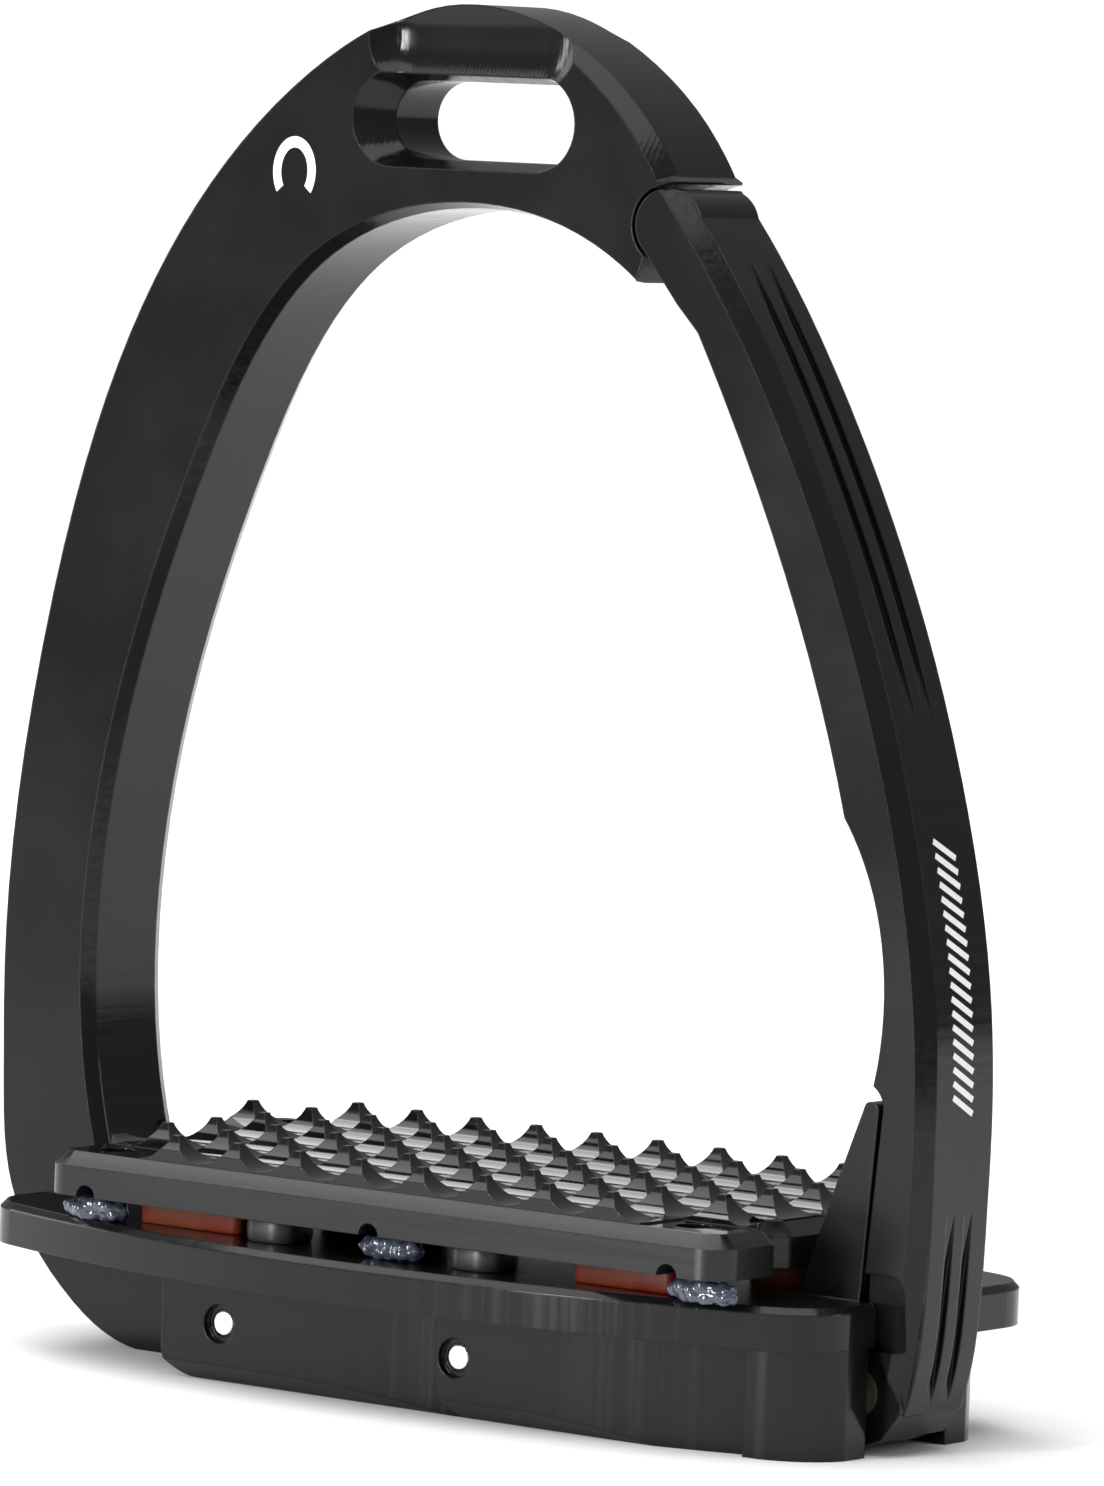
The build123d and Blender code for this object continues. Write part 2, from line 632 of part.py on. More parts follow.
# ================================================================ soft blocks between plate and tread
dampers = {}
for side_name, start_x, end_x in (("left", across(-41.0), across(-25.0)),
                                  ("right", across(26.0), across(41.0))):
    for row_name, damper_y in (("front", damper_inset - tread_half_depth),
                               ("rear", tread_half_depth - damper_inset)):
        with BuildPart() as damper:
            with BuildSketch(Plane.XY.offset(plate_top)) as block:
                with Locations(((start_x + end_x) / 2, damper_y)):
                    Rectangle(end_x - start_x, damper_depth)
                fillet(block.vertices().group_by(Axis.X)[-1], radius=2.5)
                fillet(block.vertices().group_by(Axis.X)[0], radius=0.8)
            extrude(amount=tread_gap)
        dampers[f"damper_{row_name}_{side_name}"] = damper

with BuildPart() as bump_stops:
    for stop_x in (across(-19.0), across(12.5)):
        for stop_y in (stop_inset - tread_half_depth, tread_half_depth - stop_inset):
            with BuildSketch(Plane.XY.offset(plate_top)):
                with Locations((stop_x, stop_y)):
                    RectangleRounded(stop_side, stop_side, stop_corner)
            extrude(amount=tread_gap - tread_travel - stop_gap)

with BuildPart() as shock_beads:
    for notch_x, shift in zip(notch_places, bead_shifts):
        with BuildSketch(Plane.XY.offset(plate_top)):
            with Locations((notch_x + shift, bead_inset - tread_half_depth)):
                SlotOverall(bead_length, bead_width)
        extrude(amount=bead_height)
    fillet(shock_beads.faces().group_by(Axis.Z)[-1].edges(), radius=0.8)

# ================================================================ export
pieces = {"main_frame": main_frame, "release_arm": release_arm, "pivot_pin": pivot_pin,
          "pivot_bush": pivot_bush, "thrust_washers": thrust_washers,
          "detent_plunger": detent_plunger, "plunger_bush": plunger_bush,
          "plunger_spring": plunger_spring, "spring_plug": spring_plug, **retaining_pins,
          "tread_plate": tread_plate, "tread_screws": tread_screws, **dampers,
          "bump_stops": bump_stops, "shock_beads": shock_beads}
for piece_name, piece in pieces.items():
    piece.part.label = piece_name
    export_step(piece.part, f"parts/{piece_name}.step")
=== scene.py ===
# %% [markdown]
# # A safety-release stirrup iron in Blender
# The iron is a milled aluminium bow with a hinged outer arm, a wide base and a spiked tread that
# floats on soft blocks. The hard parts come from the CAD frame, exact to the last hole, so this
# lesson gives them their finishes and models by hand what the CAD only holds a place for: the soft
# blocks, the clear sealant and the printed marks.

# %% Load the frame
import bpy
from math import pi, radians
from mathutils import Matrix, Vector


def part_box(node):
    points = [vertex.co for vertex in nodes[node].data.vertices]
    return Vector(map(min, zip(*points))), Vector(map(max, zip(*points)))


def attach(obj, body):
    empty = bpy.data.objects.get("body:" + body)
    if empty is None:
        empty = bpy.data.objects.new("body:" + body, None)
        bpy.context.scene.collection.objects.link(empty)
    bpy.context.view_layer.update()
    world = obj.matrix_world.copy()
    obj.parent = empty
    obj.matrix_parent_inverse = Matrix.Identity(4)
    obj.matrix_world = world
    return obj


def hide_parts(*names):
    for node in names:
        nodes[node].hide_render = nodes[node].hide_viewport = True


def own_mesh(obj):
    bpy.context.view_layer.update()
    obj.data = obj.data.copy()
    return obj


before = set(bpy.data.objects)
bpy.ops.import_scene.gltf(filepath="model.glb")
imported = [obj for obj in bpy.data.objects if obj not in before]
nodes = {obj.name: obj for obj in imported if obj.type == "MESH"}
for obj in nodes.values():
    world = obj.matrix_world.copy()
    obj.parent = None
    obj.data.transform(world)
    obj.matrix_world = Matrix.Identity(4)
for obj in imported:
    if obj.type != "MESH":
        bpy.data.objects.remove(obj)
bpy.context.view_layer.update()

mm = 0.001

# %% [markdown]
# ## Camera
# A long lens from some way off keeps the iron's sides nearly parallel. It stands to the front and
# right, a little above the tread, and is turned a touch about its own axis. A camera looks down its
# own -Z, so its rotation is built from the three directions right, up and back.

# %% Camera
turn, climb, lean = radians(36.979), radians(4.122), radians(2.274)
focal_length = 223.3
eye = Vector((0.67755, -0.89487, 0.16094))

aim = Matrix.Rotation(turn, 4, "Z") @ Matrix.Rotation(radians(90) - climb, 4, "X")
roll = Matrix.Rotation(lean, 4, "Z")
camera_data = bpy.data.cameras.new("camera")
camera_data.lens = focal_length
camera_data.sensor_width = 36
camera_data.clip_end = 20
camera = bpy.data.objects.new("camera", camera_data)
camera.matrix_world = Matrix.Translation(eye) @ aim @ roll
bpy.context.scene.collection.objects.link(camera)
bpy.context.scene.camera = camera
print("camera at", [round(v, 3) for v in eye], "lens", focal_length)

# %% [markdown]
# ## Light
# Black anodised metal shows almost nothing of its own colour: what reads as its surface is what it
# mirrors. So the room matters more than the lamps. The world is a grey room with a lighter top. A
# bright upright strip in front draws the highlights on curved metal; weaker panels stand at the left,
# above it and behind on the right. A very wide sun acts as the white ceiling.

# %% World
world = bpy.data.worlds.new("studio")
bpy.context.scene.world = world
world.use_nodes = True
world_nodes, world_links = world.node_tree.nodes, world.node_tree.links
world_nodes.clear()
room_light = world_nodes.new("ShaderNodeBackground")
room_light.inputs["Strength"].default_value = 1.0
backdrop_light = world_nodes.new("ShaderNodeBackground")
backdrop_light.inputs["Color"].default_value = (1, 1, 1, 1)
backdrop_light.inputs["Strength"].default_value = 1.1
direction = world_nodes.new("ShaderNodeTexCoord")
height_of = world_nodes.new("ShaderNodeSeparateXYZ")
room_ramp = world_nodes.new("ShaderNodeValToRGB")
room_ramp.color_ramp.elements[0].position = 0.45
room_ramp.color_ramp.elements[0].color = (0.2, 0.2, 0.202, 1)
room_ramp.color_ramp.elements[1].position = 0.95
room_ramp.color_ramp.elements[1].color = (0.4, 0.4, 0.404, 1)
half = world_nodes.new("ShaderNodeMath")
half.operation = "MULTIPLY_ADD"
half.inputs[1].default_value = 0.5
half.inputs[2].default_value = 0.5
seen = world_nodes.new("ShaderNodeLightPath")
chosen = world_nodes.new("ShaderNodeMixShader")
world_out = world_nodes.new("ShaderNodeOutputWorld")
world_links.new(direction.outputs["Generated"], height_of.inputs[0])
world_links.new(height_of.outputs["Z"], half.inputs[0])
world_links.new(half.outputs[0], room_ramp.inputs["Fac"])
world_links.new(room_ramp.outputs["Color"], room_light.inputs["Color"])
world_links.new(seen.outputs["Is Camera Ray"], chosen.inputs["Fac"])
world_links.new(room_light.outputs[0], chosen.inputs[1])
world_links.new(backdrop_light.outputs[0], chosen.inputs[2])
world_links.new(chosen.outputs[0], world_out.inputs["Surface"])
bpy.context.scene.view_settings.view_transform = "Standard"
print("world ready")


# %% Soft panels
def soft_panel(name, place, target, size, power):
    """An area lamp of the given size at place, facing target."""
    data = bpy.data.lights.new(name, "AREA")
    data.shape = "RECTANGLE"
    data.size, data.size_y = size
    data.energy = power
    lamp = bpy.data.objects.new(name, data)
    lamp.location = place
    lamp.rotation_euler = (Vector(target) - Vector(place)).to_track_quat("-Z", "Y").to_euler()
    bpy.context.scene.collection.objects.link(lamp)
    return lamp


middle = (0, 0, 0.08)
soft_panel("front_strip", (-0.36, -1.47, 0.26), middle, (0.2, 0.8), 22)
soft_panel("left_strip", (-1.5, -0.35, 0.45), middle, (0.4, 0.9), 6)
soft_panel("upper_left_panel", (-0.9, 0.5, 1.0), middle, (0.6, 0.6), 5)
soft_panel("rear_right_panel", (1.35, 0.75, 0.6), middle, (0.4, 0.7), 4)

ceiling = bpy.data.lights.new("ceiling", "SUN")
ceiling.energy = 2.6
ceiling.angle = radians(75)
ceiling_lamp = bpy.data.objects.new("ceiling", ceiling)
ceiling_lamp.rotation_euler = (radians(12), radians(-8), 0)
bpy.context.scene.collection.objects.link(ceiling_lamp)


# %% [markdown]
# ## Small tools
# Everything below is modelled with Blender's own operators. An operator acts on all that is
# selected, so each piece starts with nothing selected. A finished piece has its place in its mesh
# and its object at the origin, which is what transform_apply does.

# %% Helpers for modelling
def start_fresh():
    """Object mode, nothing selected."""
    if bpy.context.object and bpy.context.object.mode != "OBJECT":
        bpy.ops.object.mode_set(mode="OBJECT")
    bpy.ops.object.select_all(action="DESELECT")


def settle(name, size=(1, 1, 1)):
    """Name the active object, bring it to its size and move its place into its mesh."""
    piece = bpy.context.object
    piece.name = name
    piece.data.name = name
    piece.scale = size
    bpy.ops.object.transform_apply(location=True, rotation=True, scale=True)
    return piece


def apply_modifier(piece, kind, **settings):
    """Add a modifier, set it up and apply it."""
    bpy.context.view_layer.objects.active = piece
    piece.select_set(True)
    modifier = piece.modifiers.new(kind.lower(), kind)
    for key, value in settings.items():
        setattr(modifier, key, value)
    bpy.ops.object.modifier_apply(modifier=modifier.name)


def select_edges(piece, wanted):
    """In edit mode, select the edges whose two ends satisfy wanted."""
    bpy.ops.object.mode_set(mode="EDIT")
    bpy.ops.mesh.select_mode(type="EDGE")
    bpy.ops.mesh.select_all(action="DESELECT")
    bpy.ops.object.mode_set(mode="OBJECT")
    for edge in piece.data.edges:
        a, b = (piece.data.vertices[i].co for i in edge.vertices)
        edge.select = wanted(a, b)
    bpy.ops.object.mode_set(mode="EDIT")


# %% [markdown]
# ## Floor
# A plain white sheet that fills what the camera sees of the ground. It starts just in front of the
# iron, so the front faces mirror the dim room and not more floor. It is stage, not part of the iron.

# %% Floor
start_fresh()
bpy.ops.mesh.primitive_plane_add(size=6, location=(-0.5, 2.6, 0))
floor = settle("floor")
floor_material = bpy.data.materials.new("white_floor")
floor_material.use_nodes = True
floor_shader = floor_material.node_tree.nodes["Principled BSDF"]
floor_shader.inputs["Base Color"].default_value = (0.9, 0.9, 0.9, 1)
floor_shader.inputs["Roughness"].default_value = 0.9
floor_shader.inputs["Specular IOR Level"].default_value = 0.0
floor.data.materials.append(floor_material)
print("floor ready")

# %% [markdown]
# ## Shared surface effects
# Two effects turn up in several finishes, so each is a node group that is built once. `metal_grain`
# is the very fine tooth that anodising leaves, with slow cloudy patches. `cutter_streaks` is the
# run of lines a milling cutter leaves: noise that is stretched until it is constant along one
# direction.


# %% Node groups
def new_group(name, inputs, outputs):
    """A shader node group with named float or vector sockets."""
    group = bpy.data.node_groups.new(name, "ShaderNodeTree")
    for label, kind in inputs:
        group.interface.new_socket(label, in_out="INPUT", socket_type=kind)
    for label in outputs:
        group.interface.new_socket(label, in_out="OUTPUT", socket_type="NodeSocketFloat")
    return group, group.nodes.new("NodeGroupInput"), group.nodes.new("NodeGroupOutput")


grain_group, grain_in, grain_out = new_group("metal_grain", [("Grain scale", "NodeSocketFloat")],
                                             ["Tooth", "Patches"])
place = grain_group.nodes.new("ShaderNodeTexCoord")
tooth = grain_group.nodes.new("ShaderNodeTexNoise")
tooth.inputs["Detail"].default_value = 3
patches = grain_group.nodes.new("ShaderNodeTexNoise")
patches.inputs["Scale"].default_value = 60
patches.inputs["Detail"].default_value = 4
grain_group.links.new(place.outputs["Object"], tooth.inputs["Vector"])
grain_group.links.new(place.outputs["Object"], patches.inputs["Vector"])
grain_group.links.new(grain_in.outputs["Grain scale"], tooth.inputs["Scale"])
grain_group.links.new(tooth.outputs["Fac"], grain_out.inputs["Tooth"])
grain_group.links.new(patches.outputs["Fac"], grain_out.inputs["Patches"])

streak_group, streak_in, streak_out = new_group("cutter_streaks", [("Stretch", "NodeSocketVector")],
                                                ["Lines"])
place = streak_group.nodes.new("ShaderNodeTexCoord")
stretch = streak_group.nodes.new("ShaderNodeVectorMath")
stretch.operation = "MULTIPLY"
lines = streak_group.nodes.new("ShaderNodeTexNoise")
lines.inputs["Scale"].default_value = 1
lines.inputs["Detail"].default_value = 5
lines.inputs["Roughness"].default_value = 0.65
streak_group.links.new(place.outputs["Object"], stretch.inputs[0])
streak_group.links.new(streak_in.outputs["Stretch"], stretch.inputs[1])
streak_group.links.new(stretch.outputs[0], lines.inputs["Vector"])
streak_group.links.new(lines.outputs["Fac"], streak_out.inputs["Lines"])
print("groups", [g.name for g in bpy.data.node_groups])


# %% Helpers for materials
class Finish:
    """A material with its shader and short ways to add nodes to it."""

    def __init__(self, name, **constants):
        self.material = bpy.data.materials.new(name)
        self.material.use_nodes = True
        self.tree = self.material.node_tree
        self.shader = self.tree.nodes["Principled BSDF"]
        for socket, value in constants.items():
            self.shader.inputs[socket.replace("_", " ")].default_value = value

    def add(self, kind, **settings):
        node = self.tree.nodes.new(kind)
        for key, value in settings.items():
            setattr(node, key, value)
        return node

    def feed(self, source, target):
        if isinstance(source, (int, float)):
            target.default_value = source
        else:
            self.tree.links.new(source, target)

    def math(self, operation, a, b=0.0, c=0.0):
        node = self.add("ShaderNodeMath", operation=operation)
        for socket, value in zip(node.inputs, (a, b, c)):
            self.feed(value, socket)
        return node.outputs[0]

    def between(self, value, low, high, at_low, at_high):
        """Map value from low..high to at_low..at_high, smoothly and clamped."""
        node = self.add("ShaderNodeMapRange", interpolation_type="SMOOTHSTEP")
        for label, number in (("Value", value), ("From Min", low), ("From Max", high),
                              ("To Min", at_low), ("To Max", at_high)):
            self.feed(number, node.inputs[label])
        return node.outputs[0]

    def mix(self, mask, a, b):
        """a where mask is 0, b where it is 1."""
        node = self.add("ShaderNodeMix", data_type="FLOAT")
        for label, value in (("Factor", mask), ("A", a), ("B", b)):
            self.feed(value, node.inputs[label])
        return node.outputs["Result"]

    def colours(self, mask, a, b):
        node = self.add("ShaderNodeMix", data_type="RGBA")
        self.feed(mask, node.inputs["Factor"])
        for label, value in (("A", a), ("B", b)):
            socket = [s for s in node.inputs if s.name == label and s.type == "RGBA"][0]
            socket.default_value = (*value, 1)
        return [s for s in node.outputs if s.type == "RGBA"][0]

    def grain(self, scale):
        node = self.add("ShaderNodeGroup", node_tree=grain_group)
        node.inputs["Grain scale"].default_value = scale
        return node.outputs["Tooth"], node.outputs["Patches"]

    def streaks(self, stretch_by):
        node = self.add("ShaderNodeGroup", node_tree=streak_group)
        node.inputs["Stretch"].default_value = stretch_by
        return node.outputs["Lines"]

    def bump(self, height, distance, edge_radius=None):
        node = self.add("ShaderNodeBump")
        node.inputs["Distance"].default_value = distance
        self.feed(height, node.inputs["Height"])
        if edge_radius:
            rounding = self.add("ShaderNodeBevel", samples=4)
            rounding.inputs["Radius"].default_value = edge_radius
            self.feed(rounding.outputs[0], node.inputs["Normal"])
        self.feed(node.outputs[0], self.shader.inputs["Normal"])

    def place(self):
        node = self.add("ShaderNodeSeparateXYZ")
        self.feed(self.add("ShaderNodeTexCoord").outputs["Object"], node.inputs[0])
        return node.outputs

    def facing(self):
        node = self.add("ShaderNodeSeparateXYZ")
        self.feed(self.add("ShaderNodeNewGeometry").outputs["Normal"], node.inputs[0])
        return node.outputs


def dress(material, *names):
    """Give CAD nodes this material in every slot."""
    for name in names:
        data = nodes[name].data
        if not data.materials:
            data.materials.append(material)
        for index in range(len(data.materials)):
            data.materials[index] = material
    print(material.name, "on", names)


# %% [markdown]
# ## Black anodising
# The iron is cut from bar and dyed black. Its broad front and rear faces were blasted, so they are
# satin with a fine tooth. The cut edges kept their cutter marks and are shinier: the lines run
# upright round the base and across the bow and arm. The sloping faces of the head were cut with a
# ball cutter in fine steps, which leaves a row of small ridges. One material does it all, choosing by
# the way the surface faces and by its height, so the finish changes exactly at the edges.

# %% Black anodised bow, base and arm
plate_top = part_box("damper_front_left")[0][2]
body_black = Finish("black_anodised_body", Specular_IOR_Level=0.3, IOR=1.5, Metallic=0.0)
x, y, z = body_black.place()
face_x, face_y, face_z = body_black.facing()
broad = body_black.between(body_black.math("ABSOLUTE", face_y), 0.965, 0.995, 0, 1)
above_base = body_black.between(z, plate_top - 0.1 * mm, plate_top + 0.1 * mm, 0, 1)
in_base = body_black.math("SUBTRACT", 1.0, above_base)
flat_face = body_black.math("MULTIPLY", broad, above_base)
tooth, patches = body_black.grain(5000)
upright_lines = body_black.streaks((700, 700, 5))
cross_lines = body_black.streaks((1300, 25, 1300))
cut_lines = body_black.mix(above_base, upright_lines, cross_lines)
base_line_depth, upper_line_depth = 3.0, 1.0   # in units of relief_depth
cut_height = body_black.math("MULTIPLY", cut_lines,
                             body_black.mix(above_base, base_line_depth, upper_line_depth))
fine_relief = body_black.mix(flat_face, cut_height, tooth)

# %% Ball-milled ridges on the sloping faces of the head
relief_depth = 0.0012 * mm
ridge_depth = 0.006 * mm
ridge_pitch = 0.55 * mm
ridges_from = 148 * mm
slope = body_black.math("ABSOLUTE", face_y)
tilted = body_black.math("MULTIPLY", body_black.between(slope, 0.15, 0.3, 0, 1),
                         body_black.between(slope, 0.965, 0.985, 1, 0))
at_head = body_black.between(z, ridges_from - 0.5 * mm, ridges_from + 0.5 * mm, 0, 1)
ridged = body_black.math("MULTIPLY", tilted, at_head)
wave = body_black.math("SINE", body_black.math("MULTIPLY", x, pi / ridge_pitch))
ridges = body_black.math("MULTIPLY", body_black.math("ABSOLUTE", wave), ridged)
relief = body_black.math("ADD", fine_relief,
                         body_black.math("MULTIPLY", ridges, ridge_depth / relief_depth))

# %% Roughness, colour and edges of the body
satin = body_black.between(patches, 0.3, 0.7, 0.22, 0.28)
cut = body_black.between(cut_lines, 0.35, 0.65, 0.08, 0.2)
body_black.feed(body_black.mix(flat_face, cut, satin), body_black.shader.inputs["Roughness"])
body_black.feed(body_black.colours(patches, (0.004, 0.004, 0.0045), (0.007, 0.007, 0.0075)),
                body_black.shader.inputs["Base Color"])
body_black.bump(relief, relief_depth, edge_radius=0.35 * mm)
dress(body_black.material, "main_frame", "release_arm")

# %% [markdown]
# ## Tread
# The tread is the same aluminium, but its spikes were cut with a ball cutter and left bright: they
# catch light on every flank. Its sides are plainer and a little duller.

# %% Black anodised tread
tread_black = Finish("black_anodised_tread", Specular_IOR_Level=0.45, IOR=1.5)
x, y, z = tread_black.place()
tread_low, tread_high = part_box("tread_plate")
spiked = tread_black.between(z, tread_low[2] + 4.0 * mm, tread_low[2] + 5.2 * mm, 0, 1)
tooth, patches = tread_black.grain(4200)
long_lines = tread_black.streaks((40, 1800, 1800))
side_roughness = tread_black.between(long_lines, 0.3, 0.7, 0.26, 0.36)
spike_roughness = tread_black.between(patches, 0.3, 0.7, 0.06, 0.14)
tread_black.feed(tread_black.mix(spiked, side_roughness, spike_roughness),
                 tread_black.shader.inputs["Roughness"])
tread_black.feed(tread_black.colours(patches, (0.004, 0.004, 0.0045), (0.007, 0.007, 0.0075)),
                 tread_black.shader.inputs["Base Color"])
tread_black.bump(tread_black.mix(spiked, long_lines, tooth), 0.0012 * mm, edge_radius=0.18 * mm)
dress(tread_black.material, "tread_plate")

# %% [markdown]
# ## Steel, bronze and nylon
# The two retaining pins are bare ground steel and the brightest things on the base. The screws are
# blackened. The bearings and the spring are inside, and show only when the arm swings out.

# %% Bare steel
steel = Finish("ground_steel", Metallic=1.0)
patches = steel.grain(2600)[1]
ground_lines = steel.streaks((2400, 200, 500))
steel.feed(steel.between(ground_lines, 0.3, 0.7, 0.24, 0.42), steel.shader.inputs["Roughness"])
steel.feed(steel.colours(patches, (0.86, 0.86, 0.85), (0.74, 0.74, 0.74)),
           steel.shader.inputs["Base Color"])
steel.bump(ground_lines, 0.006 * mm, edge_radius=0.15 * mm)
dress(steel.material, "retaining_pin_left", "retaining_pin_right", "pivot_pin", "detent_plunger",
      "plunger_spring", "spring_plug")

# %% Blackened screws
screw_black = Finish("black_oxide_screws", Metallic=0.6)
tooth, patches = screw_black.grain(3000)
screw_black.feed(screw_black.between(patches, 0.3, 0.7, 0.28, 0.42),
                 screw_black.shader.inputs["Roughness"])
screw_black.feed(screw_black.colours(patches, (0.02, 0.02, 0.02), (0.035, 0.033, 0.03)),
                 screw_black.shader.inputs["Base Color"])
screw_black.bump(tooth, 0.004 * mm, edge_radius=0.1 * mm)
dress(screw_black.material, "tread_screws")

# %% Bearing bronze and nylon
bronze = Finish("sintered_bronze", Metallic=0.9)
tooth = bronze.grain(3500)[0]
bronze.feed(bronze.between(tooth, 0.3, 0.7, 0.35, 0.55), bronze.shader.inputs["Roughness"])
bronze.feed(bronze.colours(tooth, (0.24, 0.16, 0.08), (0.33, 0.22, 0.11)),
            bronze.shader.inputs["Base Color"])
bronze.bump(tooth, 0.01 * mm)
dress(bronze.material, "pivot_bush", "plunger_bush")

nylon = Finish("black_nylon", Specular_IOR_Level=0.4)
tooth, patches = nylon.grain(1800)
nylon.feed(nylon.between(patches, 0.3, 0.7, 0.45, 0.6), nylon.shader.inputs["Roughness"])
nylon.feed(nylon.colours(patches, (0.02, 0.02, 0.021), (0.03, 0.03, 0.03)),
           nylon.shader.inputs["Base Color"])
nylon.bump(tooth, 0.004 * mm)
dress(nylon.material, "thrust_washers")

# %% [markdown]
# ## Soft blocks
# Four cast polyurethane dampers carry the tread. They are rounded on the end that faces the
# middle, have soft edges, and their sides belly out a little because the tread sits on them. A
# cube is the start: its corners are bevelled in edit mode, then a cut round its middle is pushed
# out.

# %% Polyurethane
gap_height = tread_low[2] - plate_top


def urethane(name, pale, deep, fade_from, fade_to):
    """Cast polyurethane that gets deeper in colour from one x to another."""
    finish = Finish(name, Specular_IOR_Level=0.25, Subsurface_Weight=0.25, Subsurface_Scale=0.002)
    finish.shader.inputs["Subsurface Radius"].default_value = (1.0, 0.35, 0.1)
    across_block = finish.between(finish.place()[0], fade_from, fade_to, 0, 1)
    tooth, patches = finish.grain(2200)
    finish.feed(finish.between(patches, 0.3, 0.7, 0.34, 0.5), finish.shader.inputs["Roughness"])
    finish.feed(finish.colours(across_block, pale, deep), finish.shader.inputs["Base Color"])
    finish.bump(tooth, 0.006 * mm)
    return finish.material


def soft_block(name, low, high, corner, belly):
    """A cast block that fills low..high, with round upright corners and a bellied side."""
    start_fresh()
    size = [b - a - 2 * belly for a, b in zip(low, high)]
    size[2] = high[2] - low[2]
    centre = [(a + b) / 2 for a, b in zip(low, high)]
    bpy.ops.mesh.primitive_cube_add(size=1, location=centre)
    block = settle(name, size)
    select_edges(block, lambda a, b: abs(a.z - b.z) > 0.5 * size[2])
    bpy.ops.mesh.bevel(offset=corner, segments=5, profile=0.5)
    bpy.ops.mesh.select_all(action="SELECT")
    bpy.ops.mesh.bisect(plane_co=centre, plane_no=(0, 0, 1))
    bpy.ops.object.mode_set(mode="OBJECT")
    select_edges(block, lambda a, b: max(abs(a.z - centre[2]), abs(b.z - centre[2])) < 0.01 * mm)
    bpy.ops.transform.resize(value=(1 + 2 * belly / size[0], 1 + 2 * belly / size[1], 1),
                             center_override=centre)
    bpy.ops.mesh.bevel(offset=0.3 * size[2], segments=4, profile=0.5)
    bpy.ops.mesh.select_all(action="SELECT")
    bpy.ops.mesh.normals_make_consistent(inside=False)
    bpy.ops.object.mode_set(mode="OBJECT")
    apply_modifier(block, "BEVEL", width=0.22 * mm, segments=3, limit_method="ANGLE",
                   angle_limit=radians(50))
    bpy.ops.object.shade_smooth_by_angle(angle=radians(40))
    print(name, len(block.data.polygons), "faces")
    return block


# %% Four dampers
damper_colours = (("left", "orange_elastomer", (0.15, 0.031, 0.010), (0.145, 0.017, 0.003)),
                  ("right", "red_elastomer", (0.13, 0.019, 0.004), (0.12, 0.009, 0.002)))
for side, slot_name, pale, deep in damper_colours:
    low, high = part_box(f"damper_front_{side}")
    seam = low[0] + 0.62 * (high[0] - low[0])
    rubber = urethane(f"urethane_{side}", pale, deep, seam, seam + 0.4 * mm)
    for row in ("front", "rear"):
        node = f"damper_{row}_{side}"
        low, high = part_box(node)
        block = soft_block(f"urethane_{row}_{side}", low, high, 1.2 * mm, 0.15 * mm)
        block.data.materials.append(rubber)
        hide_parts(node)
        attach(block, "frame")
        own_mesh(block)

# %% [markdown]
# ## Bump stops
# Four grey rubber stops stand between the dampers. They are rounder than the dampers and stop the
# tread from meeting the base.

# %% Bump stops
grey_rubber = Finish("grey_rubber", Specular_IOR_Level=0.5)
patches = grey_rubber.grain(1600)[1]
fine_lines = grey_rubber.streaks((60, 60, 2600))
grey_rubber.feed(grey_rubber.between(patches, 0.3, 0.7, 0.3, 0.42), grey_rubber.shader.inputs["Roughness"])
grey_rubber.feed(grey_rubber.colours(patches, (0.016, 0.017, 0.019), (0.03, 0.031, 0.034)),
                 grey_rubber.shader.inputs["Base Color"])
grey_rubber.bump(fine_lines, 0.01 * mm)

low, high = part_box("bump_stops")
stop_width = 7.5 * mm
stop_gap = 0.1 * mm
for place_x in (low[0], high[0] - stop_width):
    for place_y in (low[1], high[1] - stop_width):
        label = ("left" if place_x == low[0] else "right") + ("_front" if place_y == low[1] else "_rear")
        stop = soft_block("bump_stop_" + label, (place_x, place_y, plate_top),
                          (place_x + stop_width, place_y + stop_width, tread_low[2] - stop_gap), 2.6 * mm,
                          0.25 * mm)
        stop.data.materials.append(grey_rubber.material)
        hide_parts("bump_stops")
        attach(stop, "frame")
        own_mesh(stop)

# %% [markdown]
# ## Clear sealant
# At each of the tread's three notches a dab of clear, glossy sealant bulges out of the gap. It set
# in folds, so its skin is crumpled. A sphere, flattened and pushed about by a cell pattern, gives
# the folds; a cut level with the base plate gives it something to stand on.

# %% Sealant
sealant = Finish("clear_sealant", Roughness=0.07, Transmission_Weight=0.35, IOR=1.45,
                 Coat_Weight=0.6, Coat_Roughness=0.04)
patches = sealant.grain(700)[1]
sealant.feed(sealant.colours(patches, (0.015, 0.02, 0.04), (0.13, 0.155, 0.21)),
             sealant.shader.inputs["Base Color"])
sealant.bump(patches, 0.05 * mm)

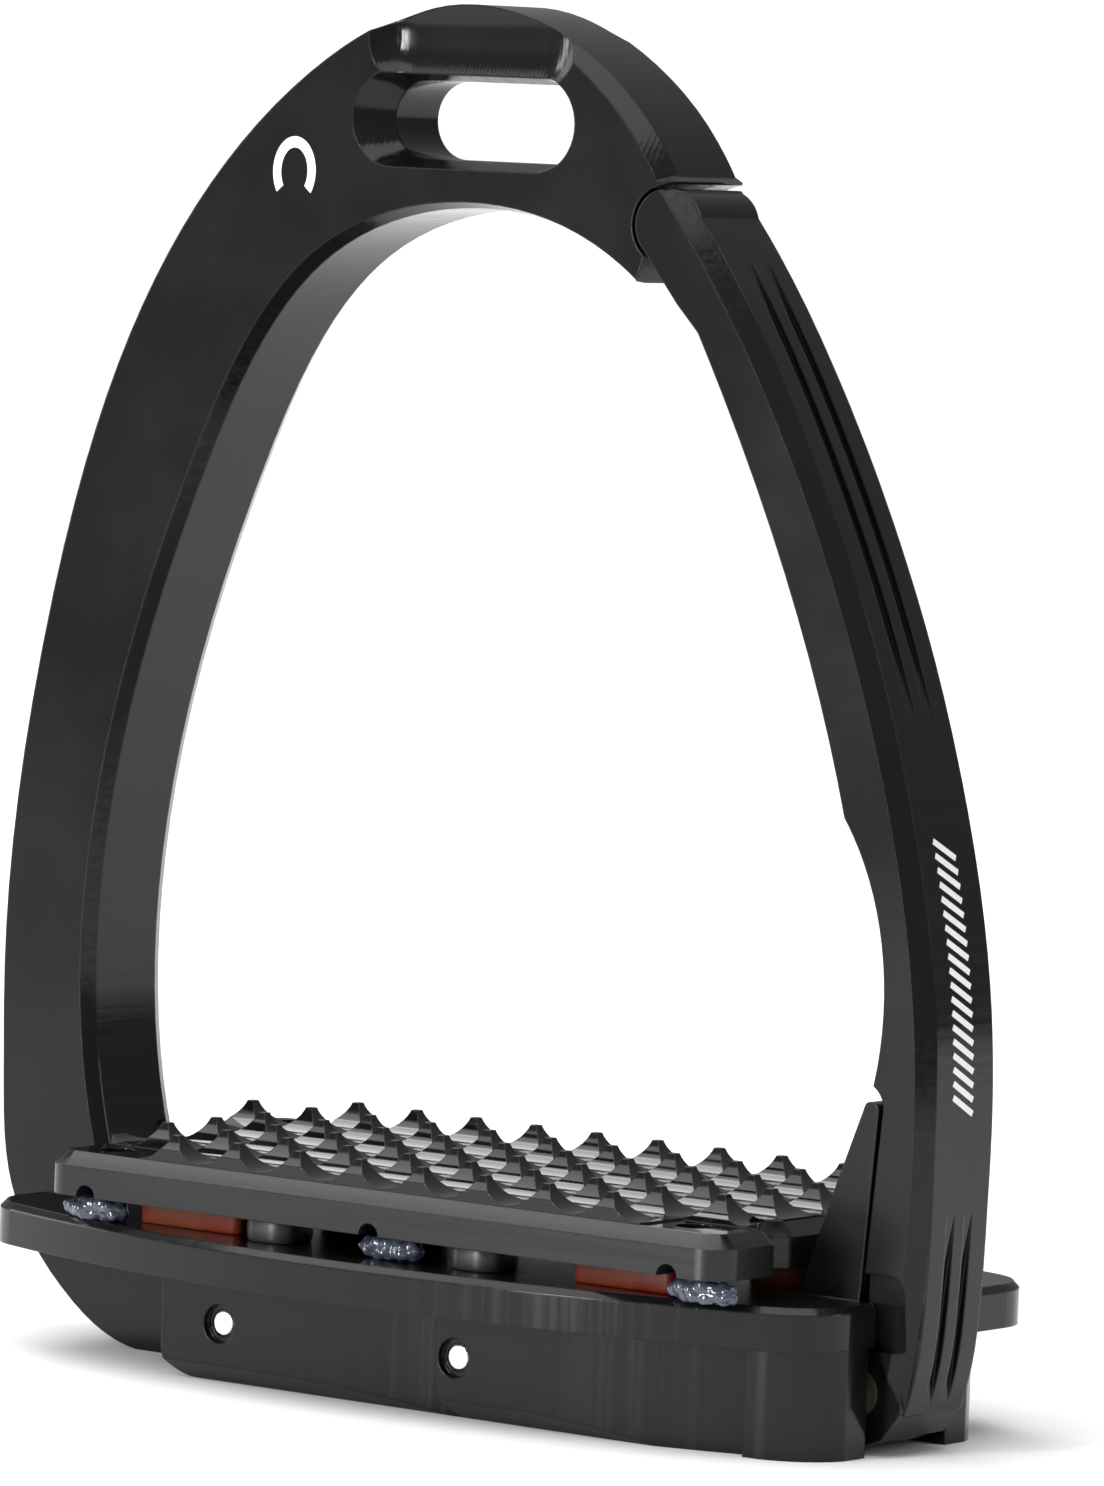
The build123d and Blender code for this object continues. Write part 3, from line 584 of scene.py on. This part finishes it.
folds = bpy.data.textures.new("folds", "VORONOI")
folds.noise_scale = 1.5 * mm
folds.distance_metric = "DISTANCE"
low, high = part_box("shock_beads")
bead_length = 9.5 * mm
bead_middle_y = (low[1] + high[1]) / 2
bead_half_height = (gap_height - 0.1 * mm) / 2
for label, bead_x in (("left", low[0] + bead_length / 2), ("middle", (low[0] + high[0]) / 2),
                      ("right", high[0] - bead_length / 2)):
    start_fresh()
    bpy.ops.mesh.primitive_ico_sphere_add(subdivisions=5, radius=1,
                                          location=(bead_x, bead_middle_y,
                                                    plate_top + bead_half_height * 0.9))
    bead = settle("sealant_" + label, (bead_length * 0.52, 1.8 * mm, bead_half_height * 1.05))
    apply_modifier(bead, "DISPLACE", texture=folds, texture_coords="LOCAL", strength=-1.1 * mm,
                   mid_level=0.6)
    bpy.ops.object.mode_set(mode="EDIT")
    for cut_z, cut_side in ((plate_top, -1), (tread_low[2] - 0.05 * mm, 1)):
        bpy.ops.mesh.select_all(action="SELECT")
        bpy.ops.mesh.bisect(plane_co=(0, 0, cut_z), plane_no=(0, 0, cut_side), use_fill=True,
                            clear_outer=True)
    bpy.ops.object.mode_set(mode="OBJECT")
    apply_modifier(bead, "SMOOTH", iterations=2)
    bpy.ops.object.shade_smooth()
    bead.data.materials.append(sealant.material)
    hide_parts("shock_beads")
    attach(bead, "frame")
    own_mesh(bead)
    print(bead.name, len(bead.data.polygons), "faces")

# %% [markdown]
# ## Printed marks
# The iron carries white print in two places. Here it is a plain horseshoe on the bow and a run of
# slanted strokes up the arm. Ink has almost no thickness, so each mark is a thin sheet laid on the
# metal; the strokes are pressed onto the arm's curve with a Shrinkwrap modifier.

# %% White ink
white_ink = Finish("white_ink", Specular_IOR_Level=0.4)
tooth, patches = white_ink.grain(2400)
white_ink.feed(white_ink.between(tooth, 0.3, 0.7, 0.4, 0.55), white_ink.shader.inputs["Roughness"])
white_ink.feed(white_ink.colours(patches, (0.82, 0.82, 0.81), (0.9, 0.9, 0.89)),
               white_ink.shader.inputs["Base Color"])
white_ink.bump(tooth, 0.002 * mm)
ink_thickness = 0.03 * mm

# %% Horseshoe on the bow
bow_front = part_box("release_arm")[0][1]
mark_centre = (-33.6 * mm, bow_front - ink_thickness, 148.3 * mm)
start_fresh()
bpy.ops.mesh.primitive_circle_add(vertices=48, radius=3.9 * mm, fill_type="NOTHING", location=mark_centre,
                                  rotation=(radians(90), 0, 0))
horseshoe = settle("horseshoe_mark", (0.86, 1.1, 1))
select_edges(horseshoe, lambda a, b: max(a.z, b.z) < mark_centre[2] - 2.6 * mm)
bpy.ops.mesh.delete(type="EDGE")
bpy.ops.mesh.select_all(action="SELECT")
bpy.ops.mesh.extrude_region_move()
bpy.ops.transform.resize(value=(0.62, 1, 0.68), center_override=mark_centre)
bpy.ops.mesh.select_all(action="SELECT")
bpy.ops.mesh.normals_make_consistent(inside=False)
bpy.ops.object.mode_set(mode="OBJECT")
apply_modifier(horseshoe, "SOLIDIFY", thickness=ink_thickness, offset=0)
horseshoe.data.materials.append(white_ink.material)
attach(horseshoe, "frame")
print("horseshoe", len(horseshoe.data.polygons), "faces")

# %% Strokes on the arm
stroke_count = 19
stroke_size = (0.75 * mm, 4.6 * mm)
stroke_slant = radians(28)
stroke_x, stroke_y = 72 * mm, -0.4 * mm
first_z, last_z = 42 * mm, 72 * mm
strokes = []
for index in range(stroke_count):
    stroke_z = first_z + (last_z - first_z) * index / (stroke_count - 1)
    start_fresh()
    bpy.ops.mesh.primitive_grid_add(x_subdivisions=4, y_subdivisions=10, size=1,
                                    location=(stroke_x, stroke_y, stroke_z), rotation=(0, radians(90), 0))
    strokes.append(settle("stroke", (*stroke_size, 1)))
    bpy.ops.object.mode_set(mode="EDIT")
    bpy.ops.mesh.select_all(action="SELECT")
    bpy.ops.transform.rotate(value=stroke_slant, orient_axis="X",
                             center_override=(stroke_x, stroke_y, stroke_z))
    bpy.ops.object.mode_set(mode="OBJECT")
start_fresh()
for stroke in strokes:
    stroke.select_set(True)
bpy.context.view_layer.objects.active = strokes[0]
bpy.ops.object.join()
arm_strokes = settle("arm_strokes")
apply_modifier(arm_strokes, "SHRINKWRAP", target=nodes["release_arm"], wrap_method="PROJECT",
               use_project_x=True, use_negative_direction=True, use_positive_direction=True,
               offset=ink_thickness)
apply_modifier(arm_strokes, "SOLIDIFY", thickness=ink_thickness, offset=0)
arm_strokes.data.materials.append(white_ink.material)
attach(arm_strokes, "arm")
print("strokes", len(arm_strokes.data.polygons), "faces")
